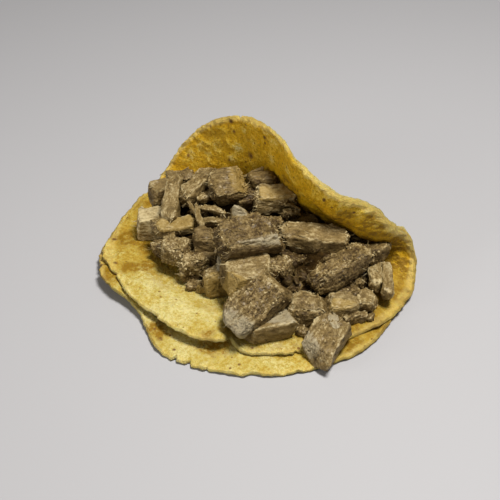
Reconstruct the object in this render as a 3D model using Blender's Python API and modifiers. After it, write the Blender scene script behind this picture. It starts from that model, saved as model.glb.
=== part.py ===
"""An open street taco: two soft corn tortillas, one lying on the other, with their far half folded up
behind a heap of chopped meat. Everything is worked out in millimetres and scaled to metres at the end.

X runs along the fold, -Y is the open side, +Z is up, and the lower tortilla lies on Z = 0."""

import math
import random

import bmesh
import bpy
from mathutils import Euler, Matrix, Vector
from mathutils.bvhtree import BVHTree

MM = 0.001

# Driving dimensions, in millimetres and degrees
TORTILLA_THICKNESS = 2.0
TORTILLA_GAP = 0.6

# The fold, at six stations evenly spaced along X from -FOLD_HALF_WIDTH to FOLD_HALF_WIDTH: where the bend
# starts, its radius, how far it turns, and how far the flap then turns back out again, on RETURN_RADIUS
FOLD_HALF_WIDTH = 75.0
BEND_STARTS = (8, 11, 13, 10, 5, 5)
BEND_RADII = (20, 16, 13, 12, 12, 19)
BEND_TURNS = (66, 80, 92, 132, 130, 122)
BEND_RETURNS = (2, 0, 0, 28, 18, 70)
RETURN_RADIUS = 24.0

# Each tortilla: its radius, its centre on the unfolded sheet, its place in the pair (-1 below, +1 above), and
# the dents in its outline, each a direction, a half width in degrees and a depth
LOWER = {
    "radius": 76.0,
    "centre": (2.0, -6.0),
    "layer": -1,
    "dents": [(-111, 24, 7.5), (-3, 18, 2.5), (-62, 4, 1.5), (118, 26, 2.0)],
}
UPPER = {
    "radius": 75.0,
    "centre": (0.0, 3.5),
    "layer": 1,
    "dents": [(-72, 5, 3.0), (-5, 26, -2.5), (75, 22, 1.2)],
}
CELLS_ALONG = 18
CELLS_ACROSS = 36

# The middle of the folded taco's footprint, which becomes the origin
FOOTPRINT_MIDDLE = (1.2, -24.7)

# How far the rims curl up off the plate, and between which directions about the tortilla's centre
SHARED_CURL = {"height": 6.0, "middle": -132.0, "half_width": 38.0}
UPPER_CURL = {"height": 8.0, "from": -125.0, "full": -92.0, "tear": -72.0, "tear_width": 4.0}
CURL_STARTS_AT = 0.5

# The heap: an even mound, with the cut pieces standing out of it
MOUND_CENTRE = Vector((2.0, -11.0, 8.0))
MOUND_HALF_SIZE = Vector((56.0, 34.0, 19.0))
MEAT_CLEARANCE = 0.8
HEAP_REACH = 1.9
HEAP_SUBDIVISIONS = 5
CORNER_ROUNDING = 0.16
CORNER_JITTER = 0.10

# Pieces of meat: name, middle, (length, width, height), (heading, pitch, roll) in degrees
HEAP_PIECES = [
    ("slab_top", (10, -26, 33), (30, 17, 11), (48, 0, 14)),
    ("slab_right", (33, -9, 29), (29, 17, 9), (12, 0, 10)),
    ("log_right", (46, -14, 22), (31, 14, 13), (64, 6, 0)),
    ("crumbly_front", (29, -51, 18), (28, 16, 13), (84, 12, 20)),
    ("block_front", (34, -51, 10), (21, 16, 9), (50, 0, 0)),
    ("knob_front", (44, -37, 12), (16, 16, 15), (30, 0, 0)),
    ("lump_right", (56, -28, 12), (16, 15, 13), (40, 0, 0)),
    ("lump_far_right", (66, -22, 10), (11, 10, 9), (20, 0, 0)),
    ("facet_left", (18, -42, 21), (25, 18, 17), (40, 0, 0)),
    ("crust_middle", (26, -31, 24), (19, 14, 12), (5, 0, 0)),
    ("fat_left", (1, -43, 13), (14, 11, 12), (60, 0, 0)),
    ("ragged_left", (-21, -37, 14), (23, 17, 17), (20, 0, 0)),
    ("cube_middle", (-14, -29, 20), (12, 12, 13), (40, 0, 0)),
    ("fat_slab", (-31, -25, 21), (18, 11, 6), (36, 0, 0)),
    ("wedge_back_left", (-53, -4, 19), (15, 10, 13), (60, 0, 0)),
    ("long_left", (-43, -9, 25), (23, 9, 10), (112, 20, 0)),
    ("torn_back", (-34, -2, 29), (22, 10, 9), (84, 12, 0)),
    ("tall_back", (-18, 1, 31), (17, 14, 16), (40, 0, 0)),
    ("arch_back", (1, 8, 27), (18, 13, 13), (45, 0, 0)),
    ("round_back", (-8, 15, 25), (14, 10, 11), (30, 0, 0)),
    ("grey_low", (60, -15, 13), (11, 9, 9), (50, 0, 0)),
    ("stick_inner", (61, -5, 12), (16, 6, 9), (118, 0, 0)),
    ("torn_right", (55, 10, 14), (15, 10, 9), (80, 0, 0)),
    ("low_back_left", (-51, 8, 21), (14, 9, 8), (40, 0, 0)),
    ("low_back_right", (22, 7, 19), (22, 12, 12), (20, 0, 0)),
]
LOOSE_PIECES = [
    ("loose_meat_front", (61, -49, 9.5), (24, 19, 8), (-55, -20, 0)),
    ("loose_meat_left", (-50, -21, 11.5), (13, 12, 13), (30, 0, 0)),
    ("loose_meat_right", (67.5, -4, 10.5), (21, 6, 9), (122, 0, 0)),
]

MEAT_COLOUR = (0.215, 0.150, 0.068)
CORN_COLOUR = (0.72, 0.50, 0.115)


# ---------------------------------------------------------------- shape of the folded sheet


def smooth_step(low, high, value):
    share = min(max((value - low) / (high - low), 0.0), 1.0)
    return share * share * (3.0 - 2.0 * share)


def at_station(values, u):
    """The value at u of a smooth curve through the values given at the fold's stations."""
    spans = len(values) - 1
    place = (u + FOLD_HALF_WIDTH) / (2.0 * FOLD_HALF_WIDTH) * spans
    place = min(max(place, 0.0), spans - 1e-6)
    first = int(place)
    share = place - first
    ends = (2 * values[0] - values[1], *values, 2 * values[-1] - values[-2])
    before, start, end, after = ends[first : first + 4]
    slope = end - before
    curve = 2 * before - 5 * start + 4 * end - after
    twist = 3 * start - 3 * end + after - before
    return 0.5 * (2 * start + (slope + (curve + twist * share) * share) * share)


def folded(u, v, height):
    """The point at (u, v) of the flat sheet, once folded, standing `height` above the sheet between the two
    tortillas. The sheet lies flat, bends up, turns back out a little, and then runs straight."""
    start = at_station(BEND_STARTS, u)
    radius = at_station(BEND_RADII, u)
    turn = math.radians(at_station(BEND_TURNS, u))
    back = math.radians(max(at_station(BEND_RETURNS, u), 0.0))
    left = max(v - start, 0.0)
    bent = min(left / radius, turn)
    left = max(left - radius * turn, 0.0)
    returned = min(left / RETURN_RADIUS, back)
    left = max(left - RETURN_RADIUS * back, 0.0)
    angle = bent - returned
    y = min(v, start) + radius * math.sin(bent)
    z = radius * (1.0 - math.cos(bent))
    y += RETURN_RADIUS * (math.sin(turn) - math.sin(turn - returned))
    z += RETURN_RADIUS * (math.cos(turn - returned) - math.cos(turn))
    y += left * math.cos(angle) - height * math.sin(angle)
    z += left * math.sin(angle) + height * math.cos(angle)
    return Vector((u, y, z + TORTILLA_THICKNESS + TORTILLA_GAP / 2.0))


def polar(u, v, tortilla):
    """Distance from the tortilla's centre as a share of its radius, and direction in degrees."""
    x = u - tortilla["centre"][0]
    y = v - tortilla["centre"][1]
    return math.hypot(x, y) / tortilla["radius"], math.degrees(math.atan2(y, x))


def curl(u, v, tortilla):
    """How far the sheet is lifted at (u, v). The upper tortilla lifts with the lower one, and a little more
    up to the short tear in its front rim."""
    share, direction = polar(u, v, LOWER)
    rise = smooth_step(CURL_STARTS_AT, 1.05, share)
    off_middle = abs(direction - SHARED_CURL["middle"]) / SHARED_CURL["half_width"]
    lift = SHARED_CURL["height"] * rise * smooth_step(1.0, 0.0, off_middle)
    if tortilla["layer"] > 0:
        share, direction = polar(u, v, tortilla)
        rise = smooth_step(CURL_STARTS_AT, 1.0, share)
        before = smooth_step(UPPER_CURL["from"], UPPER_CURL["full"], direction)
        tear = UPPER_CURL["tear"]
        after = smooth_step(tear + UPPER_CURL["tear_width"], tear - UPPER_CURL["tear_width"], direction)
        lift += UPPER_CURL["height"] * rise * before * after
    return lift


def outline_radius(direction, tortilla):
    """A hand-pressed outline: a circle with a few dents, measured in degrees from the centre."""
    radius = tortilla["radius"]
    for middle, half_width, depth in tortilla["dents"]:
        off_middle = abs((direction - middle + 180.0) % 360.0 - 180.0) / half_width
        radius -= depth * smooth_step(1.0, 0.0, off_middle)
    return radius


def folded_sheet(name, tortilla, collection, extra_radius=0.0, height=None):
    """An open sheet: a square grid drawn out to a disc, then folded."""
    if height is None:
        height = tortilla["layer"] * (TORTILLA_THICKNESS + TORTILLA_GAP) / 2.0
    bm = bmesh.new()
    bmesh.ops.create_grid(bm, x_segments=CELLS_ALONG, y_segments=CELLS_ACROSS, size=1.0)
    for vert in bm.verts:
        x, y = vert.co.xy
        disc = Vector((x * math.sqrt(1.0 - y * y / 2.0), y * math.sqrt(1.0 - x * x / 2.0)))
        direction = math.degrees(math.atan2(disc.y, disc.x))
        radius = outline_radius(direction, tortilla) + extra_radius
        u = tortilla["centre"][0] + disc.x * radius
        v = tortilla["centre"][1] + disc.y * radius
        vert.co = folded(u, v, height + curl(u, v, tortilla)) * MM
    return new_object(name, bm, collection)


# ---------------------------------------------------------------- objects, cutters and materials


def new_object(name, bm, collection):
    mesh = bpy.data.meshes.new(name)
    bm.to_mesh(mesh)
    bm.free()
    obj = bpy.data.objects.new(name, mesh)
    collection.objects.link(obj)
    return obj


def food_material(name, colour, roughness):
    material = bpy.data.materials.new(name)
    material.use_nodes = True
    shader = material.node_tree.nodes["Principled BSDF"]
    shader.inputs["Base Color"].default_value = (*colour, 1.0)
    shader.inputs["Roughness"].default_value = roughness
    shader.inputs["Metallic"].default_value = 0.0
    return material


def thicken(obj, thickness, offset):
    solidify = obj.modifiers.new("thickness", "SOLIDIFY")
    solidify.thickness = thickness * MM
    solidify.offset = offset
    solidify.use_even_offset = True


def cut(obj, *cutters):
    for cutter in cutters:
        boolean = obj.modifiers.new("clear_of_" + cutter.name, "BOOLEAN")
        boolean.operation = "DIFFERENCE"
        boolean.solver = "EXACT"
        boolean.object = cutter


def as_cutter(obj):
    obj.hide_render = True
    obj.display_type = "WIRE"
    return obj


def tortilla_solid(name, tortilla, collection, material):
    obj = folded_sheet(name, tortilla, collection)
    thicken(obj, TORTILLA_THICKNESS, 0.0)
    obj.data.materials.append(material)
    obj.data.shade_smooth()
    return obj


def tortilla_space(name, tortilla, collection, extra_radius, depth):
    """What a tortilla takes up together with the clearance over it, reaching `depth` down from there."""
    top = tortilla["layer"] * (TORTILLA_THICKNESS + TORTILLA_GAP) / 2.0 + TORTILLA_THICKNESS / 2.0
    obj = folded_sheet(name, tortilla, collection, extra_radius, top + MEAT_CLEARANCE)
    thicken(obj, depth, -1.0)
    return as_cutter(obj)


# ---------------------------------------------------------------- meat


def cut_piece(seed, middle, size, turn, grow=0.0):
    """One cut piece of meat: a block with uneven corners and broken edges."""
    uneven = random.Random(seed)
    bm = bmesh.new()
    bmesh.ops.create_cube(bm, size=1.0)
    for vert in bm.verts:
        for axis in range(3):
            vert.co[axis] *= 1.0 - uneven.uniform(0.0, 2.0 * CORNER_JITTER)
            vert.co[axis] *= size[axis] + 2.0 * grow
    rounding = CORNER_ROUNDING * min(size)
    bmesh.ops.bevel(bm, geom=list(bm.edges), offset=rounding, segments=1, affect="EDGES")
    heading, pitch, roll = (math.radians(angle) for angle in turn)
    place = Matrix.Translation(middle) @ Euler((roll, -pitch, heading), "XYZ").to_matrix().to_4x4()
    bmesh.ops.transform(bm, matrix=place, verts=bm.verts)
    bmesh.ops.recalc_face_normals(bm, faces=bm.faces)
    return bm


def loose_piece(row, seed, collection, grow=0.0):
    name, middle, size, turn = row
    bm = cut_piece(seed, middle, size, turn, grow)
    bmesh.ops.scale(bm, vec=(MM, MM, MM), verts=bm.verts)
    return new_object(name, bm, collection)


def heaped_pieces():
    """The mound and every piece in the heap, passing through each other, as one thing to be met by rays."""
    filling = bmesh.new()
    bmesh.ops.create_uvsphere(filling, u_segments=48, v_segments=25, radius=1.0)
    for vert in filling.verts:
        vert.co = MOUND_CENTRE + vert.co * MOUND_HALF_SIZE
    for seed, (_, middle, size, turn) in enumerate(HEAP_PIECES):
        piece = cut_piece(seed, middle, size, turn)
        mesh = bpy.data.meshes.new("piece")
        piece.to_mesh(mesh)
        filling.from_mesh(mesh)
        piece.free()
        bpy.data.meshes.remove(mesh)
    pieces = BVHTree.FromBMesh(filling)
    filling.free()
    return pieces


def heap_skin():
    """The heap's outer skin: a ball whose points are drawn in from outside until they meet the mound or a piece."""
    pieces = heaped_pieces()
    skin = bmesh.new()
    bmesh.ops.create_icosphere(skin, subdivisions=HEAP_SUBDIVISIONS, radius=1.0)
    for vert in skin.verts:
        outward = vert.co * MOUND_HALF_SIZE
        start = MOUND_CENTRE + outward * HEAP_REACH
        vert.co = pieces.ray_cast(start, -outward)[0]
    bmesh.ops.scale(skin, vec=(MM, MM, MM), verts=skin.verts)
    return skin


def build():
    for obj in list(bpy.data.objects):
        bpy.data.objects.remove(obj)
    taco = bpy.data.collections.new("taco")
    cutters = bpy.data.collections.new("cutters")
    for collection in (taco, cutters):
        bpy.context.scene.collection.children.link(collection)

    corn = food_material("corn_tortilla", CORN_COLOUR, 0.8)
    meat = food_material("chopped_meat", MEAT_COLOUR, 0.6)

    tortilla_solid("lower_tortilla", LOWER, taco, corn)
    tortilla_solid("upper_tortilla", UPPER, taco, corn)

    fold_space = tortilla_space("fold_space", UPPER, cutters, 14.0, 20.0)
    upper_space = tortilla_space("upper_space", UPPER, cutters, MEAT_CLEARANCE, 3.2)
    lower_space = tortilla_space("lower_space", LOWER, cutters, MEAT_CLEARANCE, 3.2)

    heap = new_object("meat_heap", heap_skin(), taco)
    heap.data.materials.append(meat)
    cut(heap, fold_space)
    for seed, row in enumerate(LOOSE_PIECES):
        piece = loose_piece(row, seed, taco)
        piece.data.materials.append(meat)
        cut(piece, upper_space, lower_space)
        room = loose_piece(("room_for_" + row[0], *row[1:]), seed, cutters, MEAT_CLEARANCE)
        cut(heap, as_cutter(room))

    for obj in (*taco.objects, *cutters.objects):
        obj.location = Vector((-FOOTPRINT_MIDDLE[0], -FOOTPRINT_MIDDLE[1], 0.0)) * MM


build()
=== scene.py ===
import math
import random
from functools import partial

import bmesh
import bpy
import numpy as np
from mathutils import Euler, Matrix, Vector, noise
from mathutils.bvhtree import BVHTree


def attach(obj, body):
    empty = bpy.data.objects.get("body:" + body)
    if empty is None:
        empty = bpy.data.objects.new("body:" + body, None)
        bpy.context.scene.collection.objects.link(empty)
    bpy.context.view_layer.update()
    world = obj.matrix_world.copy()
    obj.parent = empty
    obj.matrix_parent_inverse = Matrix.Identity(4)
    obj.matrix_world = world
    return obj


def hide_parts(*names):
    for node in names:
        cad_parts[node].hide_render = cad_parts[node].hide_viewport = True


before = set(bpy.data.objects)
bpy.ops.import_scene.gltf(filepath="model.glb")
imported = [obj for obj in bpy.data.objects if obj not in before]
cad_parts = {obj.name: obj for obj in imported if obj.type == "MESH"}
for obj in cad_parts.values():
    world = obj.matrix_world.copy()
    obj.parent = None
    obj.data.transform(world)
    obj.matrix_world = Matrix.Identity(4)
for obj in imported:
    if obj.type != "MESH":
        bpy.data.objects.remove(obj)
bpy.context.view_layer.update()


# -------------------- the two tortillas
# Soft six-inch rounds of ground, lime-cooked corn, pressed two millimetres thick and baked on a hot plate.
# One lies on the other, a little further back, and their far half is bent up together behind the filling.
# The upper one's front rim has curled up and torn. Lengths are in millimetres on the unfolded sheet.

MM = 0.001
FOOTPRINT_MIDDLE = (1.2, -24.7)
TORTILLA_THICKNESS = 2.0
TORTILLA_GAP = 0.6
TORTILLA_CELLS = 196

# The bend, at six stations evenly spaced along X: where it starts, its radius, how far it turns, and how far
# the flap then turns back out again
FOLD_HALF_WIDTH = 75.0
BEND_STARTS = (8, 11, 13, 10, 5, 5)
BEND_RADII = (20, 16, 13, 12, 12, 19)
BEND_TURNS = (66, 80, 92, 132, 130, 122)
BEND_RETURNS = (2, 0, 0, 28, 18, 70)
RETURN_RADIUS = 24.0

# The rim is rounded: how far it bulges, and how thick the sheet still is beside it, as a share
RIM_BULGE = 0.4
THICKNESS_AT_RIM = 0.62

# Directions in degrees, and the share of the radius at which the rims begin to curl
SHARED_CURL = {"height": 6.0, "middle": -132.0, "half_width": 38.0}
UPPER_CURL = {"height": 4.6, "from": -125.0, "full": -92.0, "tear": -72.0, "tear_width": 4.0}
CURL_STARTS_AT = 0.5

# Dents and chips in each outline are a direction and a half width in degrees, and a depth. Marks on the dough
# are a place on the sheet and a radius.
LOWER = {
    "radius": 76.0,
    "centre": (2.0, -6.0),
    "layer": -1,
    "seed": 3.0,
    "dents": [
        (-115, 24, 9.0), (-3, 18, 2.5), (-62, 4, 1.5), (118, 26, 2.0), (-88.5, 1.0, 1.8), (-83.5, 1.2, 2.2),
        (-77.0, 0.8, 0.8), (-141.0, 1.4, 1.0), (-36.0, 1.0, 0.9),
    ],
    "toasted": [
        (-57, -52, 1.4), (-8, -75, 1.3), (1, -78, 1.0), (30, -71, 0.8), (52, -40, 1.2), (20, 60, 2.5),
    ],
    "floury": [(5, -74, 7.0), (-20, -66, 6.0), (40, -62, 6.0)],
    # The first of these marks lies in the shade under the upper's curled lobe: painted warm shade, not oil.
    "soaked_and_shaded": [
        (-10.5, -72, 7.0), (14, -66, 10.0), (-50, -56, 8.0), (-62, -42, 8.0), (66, -36, 9.0), (57, -48, 8.0),
        (74, -20, 9.0),
    ],
}
UPPER = {
    "radius": 75.0,
    "centre": (0.0, 3.5),
    "layer": 1,
    "seed": 11.0,
    "dents": [
        (-72, 5, 3.0), (-5, 26, -2.5), (75, 22, 1.2), (-143, 18, -3.6), (-106, 15, 1.4), (79.0, 3.5, 1.6),
        (-73.0, 1.6, 2.0), (-101.0, 1.0, 0.9), (-128.0, 1.2, 1.1), (-50.0, 1.0, 1.2), (112.0, 1.3, 1.4),
        (91.0, 0.9, 1.2),
    ],
    "toasted": [
        (-19.5, 55, 2.3), (-32.5, 69, 1.6), (-30.5, 64, 1.1), (-45.5, 61, 1.0), (-9.5, 71, 1.3),
        (-51, -49, 1.5), (-65, -32, 1.2), (-14, -48, 0.8), (34, 64, 1.0), (47, 56, 0.9), (8, 66, 0.9),
        (-58, 40, 1.0),
    ],
    "floury": [
        (-12, -60, 16.0), (36, -60, 10.0), (-28, -52, 9.0), (-18, 65, 3.5), (-24, 67, 2.5), (-27.5, 55, 3.0),
        (-40, 52, 3.5), (-32, 48, 3.0), (-57, 42, 3.5), (-51, 48, 3.0), (-46, 45, 3.0), (-8, 75, 3.0),
        (-1, 73, 3.5), (-5, 60, 3.5), (9, 66, 3.0),
    ],
    # Of these marks, those at (50, 42), (36, 48), (55, 48), (29, 54) and (42, 52) darken the lower,
    # curled-under side of the flap's rolled lip: painted shade, not oil.
    "soaked_and_shaded": [
        (-44.5, -48.5, 6.0), (-39, -42, 5.5), (13, -69, 5.5), (21, -44, 7.0), (17, -62, 4.0), (-60, -28, 9.0),
        (-66, 0, 11.0), (-56, -14, 9.0), (60, -6, 9.0), (66, 18, 9.0), (52, -30, 5.0), (69, -20, 10.0),
        (72, 2, 10.0), (60, -38, 9.0), (62, 36, 12.0), (50, 42, 9.0), (36, 48, 7.0), (57, 24, 10.0),
        (55, 48, 8.0), (29, 54, 7.5), (42, 52, 7.5),
    ],
}

# How dry and floury the dough is, by direction in degrees: oil has run to the two ends
DRY_DIRECTIONS = (-180, -158, -138, -118, -88, -60, -35, -10, 20, 60, 180)
DRY_SHARES = (0.06, 0.10, 0.30, 0.95, 1.0, 0.85, 0.38, 0.14, 0.04, 0.02, 0.04)

# Oil from the filling reaches this far into the dough
OIL_REACH = 14.0


def smooth_step(low, high, value):
    share = np.clip((value - low) / (high - low), 0.0, 1.0)
    return share * share * (3.0 - 2.0 * share)


def at_station(values, u):
    """The value at u of a smooth curve through the values given at the fold's stations."""
    spans = len(values) - 1
    place = np.clip((u + FOLD_HALF_WIDTH) / (2.0 * FOLD_HALF_WIDTH) * spans, 0.0, spans - 1e-6)
    first = place.astype(int)
    share = place - first
    ends = np.array((2 * values[0] - values[1], *values, 2 * values[-1] - values[-2]), float)
    before, start, end, after = (ends[first + step] for step in range(4))
    slope = end - before
    curve = 2 * before - 5 * start + 4 * end - after
    twist = 3 * start - 3 * end + after - before
    return 0.5 * (2 * start + (slope + (curve + twist * share) * share) * share)


def polar(u, v, tortilla):
    """Distance from the tortilla's centre as a share of its radius, and direction in degrees."""
    x = u - tortilla["centre"][0]
    y = v - tortilla["centre"][1]
    return np.hypot(x, y) / tortilla["radius"], np.degrees(np.arctan2(y, x))


def curl(u, v, tortilla):
    """How far the rim is lifted. The upper tortilla lifts with the lower one, and more up to its tear."""
    share, direction = polar(u, v, LOWER)
    off_middle = np.abs(direction - SHARED_CURL["middle"]) / SHARED_CURL["half_width"]
    rise = smooth_step(CURL_STARTS_AT, 1.05, share)
    lift = SHARED_CURL["height"] * rise * smooth_step(1.0, 0.0, off_middle)
    if tortilla["layer"] > 0:
        share, direction = polar(u, v, tortilla)
        rise = smooth_step(CURL_STARTS_AT, 1.0, share)
        before = smooth_step(UPPER_CURL["from"], UPPER_CURL["full"], direction)
        tear = UPPER_CURL["tear"]
        after = smooth_step(tear + UPPER_CURL["tear_width"], tear - UPPER_CURL["tear_width"], direction)
        lift = lift + UPPER_CURL["height"] * rise * before * after
    return lift


def outline_radius(direction, tortilla):
    """A hand-pressed outline: a circle with dents and chips, and a crumbly edge."""
    radius = np.full_like(direction, tortilla["radius"])
    for middle, half_width, depth in tortilla["dents"]:
        off_middle = np.abs((direction - middle + 180.0) % 360.0 - 180.0) / half_width
        radius -= depth * smooth_step(1.0, 0.0, off_middle)
    seed = Vector((0.0, 0.0, tortilla["seed"]))
    for index, angle in enumerate(np.radians(direction)):
        ring = Vector((math.cos(angle), math.sin(angle), 0.0)) * tortilla["radius"]
        radius[index] += 0.75 * noise.noise(ring / 9.0 + seed) + 0.55 * noise.noise(ring / 2.4 + seed)
    return radius


def marks(u, v, places):
    """How near a point is to the nearest of some round marks: 1 in its middle, 0.5 at its rim, 0 outside."""
    nearest = np.zeros_like(u)
    for middle_u, middle_v, radius in places:
        distance = np.hypot(u - middle_u, v - middle_v)
        nearest = np.maximum(nearest, np.clip(1.0 - 0.5 * distance / radius, 0.0, 1.0))
    return nearest


def store(mesh, name, values):
    """Keeps a value or a vector for every point of a mesh, under a name that node trees can read."""
    values = np.ascontiguousarray(values, np.float32)
    is_vector = values.size == 3 * len(mesh.vertices)
    attribute = mesh.attributes.new(name, "FLOAT_VECTOR" if is_vector else "FLOAT", "POINT")
    attribute.data.foreach_set("vector" if is_vector else "value", values.ravel())


def points_of(mesh):
    points = np.empty(len(mesh.vertices) * 3, np.float32)
    mesh.vertices.foreach_get("co", points)
    return points.reshape(-1, 3)


def into_scene(name, data):
    obj = bpy.data.objects.new(name, data)
    bpy.context.scene.collection.objects.link(obj)
    return obj


def net(number):
    """The quads between the neighbours of a table of point numbers, as rows of four corners."""
    corners = (number[:-1, :-1], number[1:, :-1], number[1:, 1:], number[:-1, 1:])
    return np.stack(corners, axis=-1).reshape(-1, 4)


def flat_tortilla(name, tortilla, cells):
    """A round slab, not folded yet, and where its points lie on the sheet and through its thickness."""
    steps = np.linspace(-1.0, 1.0, cells + 1)
    x, y = (axis.ravel() for axis in np.meshgrid(steps, steps, indexing="ij"))
    disc = np.stack((x * np.sqrt(1.0 - y * y / 2.0), y * np.sqrt(1.0 - x * x / 2.0)), axis=-1)
    count = len(disc)
    number = np.arange(count).reshape(cells + 1, cells + 1)
    quads = net(number)
    border = np.concatenate((number[:-1, 0], number[-1, :-1], number[:0:-1, -1], number[0, :0:-1]))

    radius = outline_radius(np.degrees(np.arctan2(disc[:, 1], disc[:, 0])), tortilla)
    centre = np.array(tortilla["centre"])
    sheet = centre + disc * radius[:, None]
    rim = centre + disc[border] * (radius[border, None] + RIM_BULGE)
    side = np.ones(count)
    side[border] = THICKNESS_AT_RIM
    flat = np.concatenate((
        np.column_stack((sheet, side)),
        np.column_stack((sheet, -side)),
        np.column_stack((rim, np.zeros(len(rim)))),
    ))
    edge = 2 * count + np.arange(len(border))
    upper_wall = np.stack((border, edge, np.roll(edge, -1), np.roll(border, -1)), axis=-1)
    lower_wall = np.stack((edge, border + count, np.roll(border, -1) + count, np.roll(edge, -1)), axis=-1)
    faces = np.concatenate((quads, quads[:, ::-1] + count, upper_wall, lower_wall))
    mesh = bpy.data.meshes.new(name)
    mesh.from_pydata((flat * (MM, MM, MM)).tolist(), [], faces.tolist())
    mesh.shade_smooth()
    return mesh, flat


def describe_dough(mesh, flat, tortilla):
    """Stores what the folding and the dough's material need to know at each point of a tortilla."""
    u, v = flat[:, 0], flat[:, 1]
    rim_share, direction = polar(u, v, tortilla)

    def waves(length):
        return np.array([noise.noise(Vector((a, b, tortilla["seed"])) / length) for a, b in flat[:, :2]])

    wide = waves(7.0)
    narrow = waves(2.6)
    standing = smooth_step(20.0, 48.0, v)
    ripple = 0.9 * smooth_step(0.78, 1.0, rim_share) * wide + 0.5 * smooth_step(0.90, 1.0, rim_share) * narrow
    if tortilla["layer"] > 0:
        rolled = smooth_step(24.0, 42.0, v) * smooth_step(88.0, 72.0, direction)
        ripple += rolled * 3.6 * smooth_step(0.735, 0.82, rim_share) * smooth_step(1.03, 0.85, rim_share)
        ripple -= 0.5 * smooth_step(0.90, 0.98, rim_share) * (1.0 - standing)
    thinner = -0.95 * smooth_step(0.93, 1.0, rim_share) * (1.0 - standing)
    uneven = 0.9 * smooth_step(0.92, 1.0, rim_share) * narrow
    outer = smooth_step(0.86, 1.0, rim_share)
    facts = {
        "flat": flat * (MM, MM, 1.0),
        "fold_start": at_station(BEND_STARTS, u) * MM,
        "fold_radius": at_station(BEND_RADII, u) * MM,
        "fold_turn": np.radians(at_station(BEND_TURNS, u)),
        "fold_return": np.radians(np.maximum(at_station(BEND_RETURNS, u), 0.0)),
        "rim": smooth_step(0.945, 1.0, rim_share),
        "lift": (curl(u, v, tortilla) + ripple) * MM,
        "swell": 0.5 * smooth_step(0.90, 0.975, rim_share) * standing + thinner + uneven,
        # A painted highlight along the rolled lip at the flap's right end
        "painted_lip_highlight": outer * smooth_step(24.0, 42.0, v) * smooth_step(104.0, 76.0, direction),
        "dry": np.interp(direction, DRY_DIRECTIONS, DRY_SHARES),
    }
    for mark in ("toasted", "floury", "soaked_and_shaded"):
        facts[mark] = marks(u, v, tortilla[mark])
    for name, values in facts.items():
        store(mesh, name, values)


def soak(mesh):
    """Stores how much oil has run from the filling into each point of a folded tortilla."""
    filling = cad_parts["meat_heap"].data
    faces = [tuple(face.vertices) for face in filling.polygons]
    shape = BVHTree.FromPolygons(points_of(filling).tolist(), faces)
    reach = OIL_REACH * MM
    clear = [shape.find_nearest(Vector(point), reach)[3] or reach for point in points_of(mesh)]
    store(mesh, "oil", smooth_step(reach, 0.0, np.array(clear)))


def wire(socket, value):
    """Fills an input with what comes out of another node, or with a plain value."""
    if isinstance(value, Value):
        socket.id_data.links.new(value.socket, socket)
    else:
        socket.default_value = value


def place(tree, kind, inputs=(), **options):
    """Adds a node, sets its options, and fills its inputs, given by name or by number."""
    node = tree.nodes.new(kind)
    for option, value in options.items():
        setattr(node, option, value)
    for key, value in dict(inputs).items():
        wire(node.inputs[key], value)
    return Value(node) if len(node.outputs) else None


def calc(operation, *values, clamp=False):
    """A sum with at least one node output in it."""
    tree = next(value.tree for value in values if isinstance(value, Value))
    return place(tree, "ShaderNodeMath", enumerate(values), operation=operation, use_clamp=clamp)


class Value:
    """What comes out of a node: its first output, or another one in brackets. Sums with it add nodes."""

    def __init__(self, node, output=0):
        self.node = node
        self.tree = node.id_data
        self.socket = node.outputs[output]

    def __getitem__(self, output):
        return Value(self.node, output)

    __add__ = lambda self, other: calc("ADD", self, other)
    __sub__ = lambda self, other: calc("SUBTRACT", self, other)
    __rsub__ = lambda self, other: calc("SUBTRACT", other, self)
    __mul__ = lambda self, other: calc("MULTIPLY", self, other)
    __truediv__ = lambda self, other: calc("DIVIDE", self, other)
    __rtruediv__ = lambda self, other: calc("DIVIDE", other, self)


larger = partial(calc, "MAXIMUM")
smaller = partial(calc, "MINIMUM")
sine = partial(calc, "SINE")
cosine = partial(calc, "COSINE")


def remap(value, low, high, new_low=0.0, new_high=1.0, kind="SMOOTHSTEP"):
    inputs = enumerate((value, low, high, new_low, new_high))
    return place(value.tree, "ShaderNodeMapRange", inputs, interpolation_type=kind)


def vectors(operation, *values):
    """A sum of vectors. An amount to scale by goes last."""
    numbers = (0, 3) if operation == "SCALE" else (0, 1, 2)
    return place(values[0].tree, "ShaderNodeVectorMath", zip(numbers, values), operation=operation)


def stretched(vector, scale, shift=(0.0, 0.0, 0.0)):
    """A place multiplied axis by axis and then moved, for a pattern that runs longer one way."""
    return vectors("MULTIPLY_ADD", vector, scale, shift)


def together(x, y=0.0, z=0.0):
    """Three values as one vector."""
    tree = next(value.tree for value in (x, y, z) if isinstance(value, Value))
    return place(tree, "ShaderNodeCombineXYZ", enumerate((x, y, z)))


def apart(vector):
    """A vector's three values."""
    return place(vector.tree, "ShaderNodeSeparateXYZ", {0: vector})


def cloud(vector, scale, detail=2.0, roughness=0.5, distortion=0.0):
    """Soft noise about 0.5, and as its colour, noise with three values."""
    inputs = {"Vector": vector, "Scale": scale, "Detail": detail, "Roughness": roughness}
    return place(vector.tree, "ShaderNodeTexNoise", {**inputs, "Distortion": distortion})


def cells_of(vector, scale):
    """Uneven cells: the distance from each one's middle, and a colour of its own."""
    return place(vector.tree, "ShaderNodeTexVoronoi", {"Vector": vector, "Scale": scale})


def read(tree, name, kind="FLOAT"):
    """The value that a geometry tree finds stored on the mesh under this name."""
    return place(tree, "GeometryNodeInputNamedAttribute", {"Name": name}, data_type=kind)


def stored(geometry, name, value, domain="POINT", kind="FLOAT"):
    """The same the other way round: a value that a geometry tree keeps on the mesh."""
    inputs = {"Geometry": geometry, "Name": name, "Value": value}
    return place(geometry.tree, "GeometryNodeStoreNamedAttribute", inputs, data_type=kind, domain=domain)


def moved(geometry, offset):
    return place(geometry.tree, "GeometryNodeSetPosition", {"Geometry": geometry, "Offset": offset})


SOCKET_KINDS = {float: "Float", int: "Int", tuple: "Vector"}


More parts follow.
